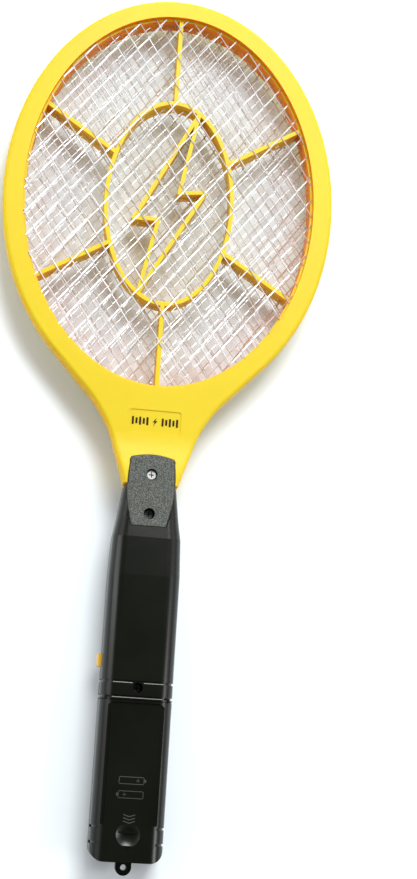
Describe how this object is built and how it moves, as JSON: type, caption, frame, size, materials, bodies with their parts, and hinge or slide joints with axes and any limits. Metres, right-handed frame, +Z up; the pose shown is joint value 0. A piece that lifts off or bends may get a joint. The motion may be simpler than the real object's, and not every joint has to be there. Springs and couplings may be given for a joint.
{
  "type": "electric fly swatter",
  "caption": "Electric fly swatter: oval yellow racket head with metal nets and lightning-bolt ribs, black two-shell handle with side button, sliding battery cover and hanging lug.",
  "frame": {"origin": "on the surface that the swatter lies on, under the middle of its whole length and width", "axes": "+Y along the length toward the head, +Z up out of the rear side (battery cover and screws), +X to the right"},
  "size_m": [0.183, 0.48, 0.027],
  "materials": {
    "yellow_plastic": "bright yellow moulded plastic, satin gloss",
    "black_plastic": "glossy black moulded plastic",
    "grey_textured_plastic": "dark grey spark-textured plastic",
    "net_wire": "bright expanded aluminium mesh",
    "button_plastic": "amber-yellow moulded plastic",
    "dark_plastic": "matt dark plastic",
    "zinc_steel": "bright zinc-plated steel",
    "dark_steel": "black oxide steel",
    "spring_steel": "nickel-plated spring steel",
    "board": "tan paper-phenolic board",
    "ferrite": "dark grey ferrite",
    "winding": "yellow winding tape",
    "film_capacitor": "dipped brown-red epoxy",
    "ceramic_disc": "dipped blue epoxy",
    "diode_glass": "black moulded epoxy",
    "resistor_body": "tan lacquer",
    "led_red": "red tinted epoxy",
    "cell_jacket": "plain grey printed jacket",
    "lead_red": "red PVC insulation",
    "lead_white": "white PVC insulation"
  },
  "bodies": {
    "root": {"aa_cell_left": "cell_jacket", "aa_cell_right": "cell_jacket", "battery_leads": "lead_red", "board_screws": "zinc_steel", "centre_net": "net_wire", "centre_net_lead": "lead_red", "circuit_board": "board", "front_handle_shell": "black_plastic", "front_head_frame": "yellow_plastic", "front_net_lead": "lead_white", "front_outer_net": "net_wire", "handle_screw": "dark_steel", "indicator_led": "led_red", "lower_neck_screw": "dark_steel", "multiplier_capacitors": "ceramic_disc", "neck_plate": "grey_textured_plastic", "negative_contact": "spring_steel", "positive_contact": "spring_steel", "rear_handle_shell": "black_plastic", "rear_head_frame": "yellow_plastic", "rear_net_lead": "lead_white", "rear_outer_net": "net_wire", "rectifier_diodes": "diode_glass", "resistors": "resistor_body", "series_contact": "spring_steel", "storage_capacitor": "film_capacitor", "switch_body": "dark_plastic", "switching_transistor": "diode_glass", "transformer_core": "ferrite", "transformer_winding": "winding", "upper_neck_screw": "zinc_steel"},
    "button": {"power_button": "button_plastic"},
    "cover": {"battery_cover": "black_plastic"}
  },
  "joints": [
    {"name": "power_button_press", "type": "slide", "parent": "root", "child": "button", "axis": [1, 0, 0], "range_m": [0, 0.0012], "stiffness_N_per_m": 1200, "springref_m": -0.0006},
    {"name": "battery_cover_slide", "type": "slide", "parent": "root", "child": "cover", "axis": [0, -1, 0], "range_m": [0, 0.095]}
  ]
}
